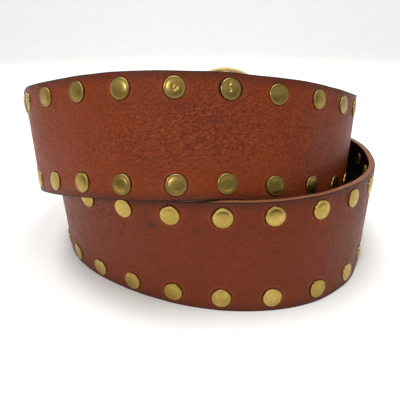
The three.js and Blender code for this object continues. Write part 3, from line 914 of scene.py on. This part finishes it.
# %% Buckle sizes and place
RIM_INNER = STRAP_WIDTH / 2 + 0.6
RIM_WIDTH = 5.5
RIM_THICKNESS = 4.0
RIM_FORWARD = WRAP_RADIUS + STRAP_THICKNESS / 2 + 0.4 + RIM_THICKNESS / 2
RIM_OUTER = RIM_INNER + RIM_WIDTH
RIM_ROUNDING = 1.8
LUG_LENGTH = 5.0
LUG_HEIGHT = 2.6

start_middle, start_along, start_up, start_out = place_at_length(np.array([0.0]))
buckle_matrix = Matrix((start_along[0], start_up[0], start_out[0])).transposed().to_4x4()
buckle_matrix.translation = Vector(start_middle[0] - start_out[0] * WRAP_RADIUS) * MM


def carry(obj, matrix):
    obj.data.transform(matrix @ Matrix.Scale(MM, 4))
    obj.data.update()


print("bar's middle, m:", [round(v, 4) for v in buckle_matrix.translation])

# %% Spin the rim
deselect_all()
bpy.ops.mesh.primitive_plane_add(size=1, rotation=(math.pi / 2, 0, 0))
buckle = bpy.context.object
buckle.name = "buckle_frame_brass"
bpy.ops.object.transform_apply(rotation=True)
edit(buckle)
bpy.ops.mesh.select_all(action="SELECT")
bpy.ops.transform.resize(value=(RIM_WIDTH, 1, RIM_THICKNESS))
bpy.ops.transform.translate(value=(RIM_INNER + RIM_WIDTH / 2, 0, RIM_FORWARD))
bpy.ops.mesh.bevel(offset=RIM_ROUNDING, segments=6, affect="VERTICES")
bpy.ops.mesh.select_all(action="SELECT")
bpy.ops.mesh.delete(type="ONLY_FACE")
bpy.ops.mesh.select_all(action="SELECT")
bpy.ops.mesh.spin(steps=120, angle=2 * math.pi, center=(0, 0, 0), axis=(0, 0, 1))
bpy.ops.mesh.select_all(action="SELECT")
bpy.ops.mesh.remove_doubles(threshold=0.001)
bpy.ops.mesh.normals_make_consistent(inside=False)
done()
print("rim", triangles(buckle), "triangles")

# %% Add the bar and its lugs
bar_parts = []
lug_depth = RIM_FORWARD + BAR_DIAMETER / 2 + 0.5
for side in (1, -1):
    deselect_all()
    bpy.ops.mesh.primitive_cube_add(size=1, location=(
        0, side * (RIM_INNER + LUG_HEIGHT / 2), RIM_FORWARD - lug_depth / 2))
    lug = bpy.context.object
    lug.scale = (LUG_LENGTH, LUG_HEIGHT, lug_depth)
    bpy.ops.object.transform_apply(location=True, scale=True)
    edit(lug, "EDGE")
    bpy.ops.mesh.select_all(action="SELECT")
    bpy.ops.mesh.bevel(offset=1.0, segments=4, affect="EDGES")
    done()
    bar_parts.append(lug)
deselect_all()
bpy.ops.mesh.primitive_cylinder_add(
    vertices=32, radius=BAR_DIAMETER / 2, depth=2 * RIM_INNER + LUG_HEIGHT,
    rotation=(math.pi / 2, 0, 0))
bpy.ops.object.transform_apply(rotation=True)
bar_parts.append(bpy.context.object)
for part in bar_parts:
    union = buckle.modifiers.new("union", "BOOLEAN")
    union.operation = "UNION"
    union.solver = "EXACT"
    union.object = part
    apply_modifiers(buckle)
    bpy.data.objects.remove(part)
deselect_all()
buckle.select_set(True)
bpy.context.view_layer.objects.active = buckle
bpy.ops.object.shade_smooth_by_angle(angle=math.radians(40))
carry(buckle, buckle_matrix)
buckle.data.materials.append(buckle_brass)
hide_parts("buckle_frame")
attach(buckle, "root")
print("buckle frame", triangles(buckle), "triangles")

# %% [markdown]
# The tongue is a bent brass prong. A curve with a round bevel would do for a wire, but this prong is
# flattened and its tip is thinner, so its rounded section is drawn out along a path: from the tip,
# over the rim, down to the bar and round it. At each stop the end face is extruded, moved and turned.

# %% Draw out the tongue
EYE_MIDDLE = BAR_DIAMETER / 2 + 0.3 + 1.04
TONGUE_WIDTH = 4.4
TONGUE_THICKNESS = 2.6
TONGUE_ROUNDING = 0.9
# Each stop: place along the strap and height over the bar's middle in mm, shares of the section's
# width and thickness
tongue_stops = [
    (-30.5, 11.0, 0.55, 0.45), (-30.1, 11.1, 0.8, 0.7), (-29.0, 11.25, 0.95, 0.9),
    (-26.5, 11.32, 1.0, 1.0), (-23.5, 11.32, 1.0, 1.0), (-21.2, 11.1, 1.0, 1.0),
    (-19.0, 10.3, 1.0, 1.0), (-14.0, 8.25, 1.0, 1.0), (-8.5, 6.1, 1.0, 1.0),
    (-4.2, 4.5, 1.0, 0.9), (-1.8, 3.75, 1.0, 0.84)]
tongue_stops += [(EYE_MIDDLE * math.cos(math.radians(angle)),
                  EYE_MIDDLE * math.sin(math.radians(angle)), 1.0, 0.8)
                 for angle in range(80, -206, -19)]


def stop_matrix(i):
    """Takes a flat section, with X across the strap and Y out, to stop i of the tongue's path."""
    here = Vector((tongue_stops[i][0], 0, tongue_stops[i][1]))
    before = tongue_stops[max(i - 1, 0)]
    after = tongue_stops[min(i + 1, len(tongue_stops) - 1)]
    heading = Vector((after[0] - before[0], 0, after[1] - before[1])).normalized()
    wide = Vector((0, 1, 0))
    thick = heading.cross(wide)
    matrix = Matrix((wide, thick, heading)).transposed().to_4x4()
    matrix.translation = here
    _, _, width, thickness = tongue_stops[i]
    return matrix @ Matrix.Diagonal((width, thickness, 1, 1))


deselect_all()
bpy.ops.mesh.primitive_plane_add(size=1)
tongue = bpy.context.object
tongue.name = "buckle_tongue_brass"
edit(tongue)
bpy.ops.mesh.select_all(action="SELECT")
bpy.ops.transform.resize(value=(TONGUE_WIDTH, TONGUE_THICKNESS, 1))
bpy.ops.mesh.bevel(offset=TONGUE_ROUNDING, segments=3, affect="VERTICES")
bpy.ops.mesh.select_mode(type="FACE")
for i in range(len(tongue_stops)):
    if i:
        bpy.ops.mesh.extrude_region_move(TRANSFORM_OT_translate={"value": (0, 0, 0)})
    bm = bmesh.from_edit_mesh(tongue.data)
    change = stop_matrix(i) @ (stop_matrix(i - 1).inverted() if i else Matrix())
    bmesh.ops.transform(bm, matrix=change, verts=[v for v in bm.verts if v.select])
    bmesh.update_edit_mesh(tongue.data)
bpy.ops.mesh.select_all(action="SELECT")
bpy.ops.mesh.normals_make_consistent(inside=False)
done()
rounder = tongue.modifiers.new("rounder", "SUBSURF")
rounder.levels = rounder.render_levels = 1
apply_modifiers(tongue)
bpy.ops.object.shade_smooth_by_angle(angle=math.radians(50))
carry(tongue, buckle_matrix)
tongue.data.materials.append(buckle_brass)
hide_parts("buckle_tongue")
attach(tongue, "root")
print("tongue", triangles(tongue), "triangles")

# %% [markdown]
# ## Floor and light
# The belt stands on a plain white table that curves up all round, like the sweep of a small photo
# tent. A large soft light hangs overhead, a smaller one stands at the left front, and a third lights
# the curve behind the belt, so that it stays white in the picture. The end of the table behind the
# camera is grey. It stands for the dim room that the caps mirror: those that lean back look dark,
# and the upright ones mirror the white table close to the belt and look pale.

# %% The table
TABLE_RADIUS = 1.3
TABLE_RISE = 0.6
RISE_STEPS = 8
DIM_FROM_TO = (-0.52, -0.18)  # m along Y, where the table is grey and where it is white again
deselect_all()
bpy.ops.mesh.primitive_circle_add(vertices=96, radius=TABLE_RADIUS, fill_type="NGON")
table = bpy.context.object
table.name = "table"
edit(table, "EDGE")
for step in range(1, RISE_STEPS + 1):
    bpy.ops.mesh.select_all(action="DESELECT")
    bm = bmesh.from_edit_mesh(table.data)
    for rim_edge in bm.edges:
        rim_edge.select_set(all(abs(v.co.xy.length - max(w.co.xy.length for w in bm.verts)) < 1e-4
                                for v in rim_edge.verts))
    bmesh.update_edit_mesh(table.data)
    bend = math.radians(90 * step / RISE_STEPS)
    before = math.radians(90 * (step - 1) / RISE_STEPS)
    outward = TABLE_RISE * (math.sin(bend) - math.sin(before))
    upward_step = TABLE_RISE * (math.cos(before) - math.cos(bend))
    reach = TABLE_RADIUS + TABLE_RISE * math.sin(before)
    growth = (reach + outward) / reach
    bpy.ops.mesh.extrude_edges_move(TRANSFORM_OT_translate={"value": (0, 0, upward_step)})
    bpy.ops.transform.resize(value=(growth, growth, 1), center_override=(0, 0, 0))
bpy.ops.mesh.select_all(action="SELECT")
bpy.ops.mesh.normals_make_consistent(inside=True)
done()
bpy.ops.object.shade_smooth_by_angle(angle=math.radians(40))
card = Finish("white_card")
on_table = card.node("ShaderNodeTexCoord", {}, "Object")
paper = card.blend(card.noise(on_table, 14, 3, 0.5), colour(0.86, 0.86, 0.85),
                   colour(0.9, 0.9, 0.89))
table_y = card.node("ShaderNodeSeparateXYZ", {"Vector": on_table}, "Y")
dim_side = card.ease(table_y, *DIM_FROM_TO, 0.92, 0)
table.data.materials.append(card.finish(
    Base_Color=card.blend(dim_side, paper, colour(0.10, 0.10, 0.10)), Roughness=0.75))
print("table", triangles(table), "triangles")


# %% Lights
def softbox(name, place, size, watts, target=(0, 0, 0)):
    bpy.ops.object.light_add(type="AREA", location=place)
    lamp = bpy.context.object
    lamp.name = name
    lamp.data.shape = "DISK"
    lamp.data.size = size
    lamp.data.energy = watts
    lamp.rotation_euler = (Vector(target) - Vector(place)).to_track_quat("-Z", "Y").to_euler()
    return lamp


softbox("overhead", (-0.05, 0.1, 1.25), 1.1, 16)
softbox("left_front", (-0.4, -0.95, 0.62), 0.35, 3.8)
softbox("backdrop", (0, 0.8, 1.0), 0.6, 3.0, target=(0, 1.7, 0.1))
ROOM_GLOW = 0.56
room = bpy.data.worlds.new("room")
bpy.context.scene.world = room
room.use_nodes = True
room.node_tree.nodes["Background"].inputs["Color"].default_value = colour(1, 0.99, 0.97)
room.node_tree.nodes["Background"].inputs["Strength"].default_value = ROOM_GLOW
bpy.context.scene.view_settings.view_transform = "Standard"
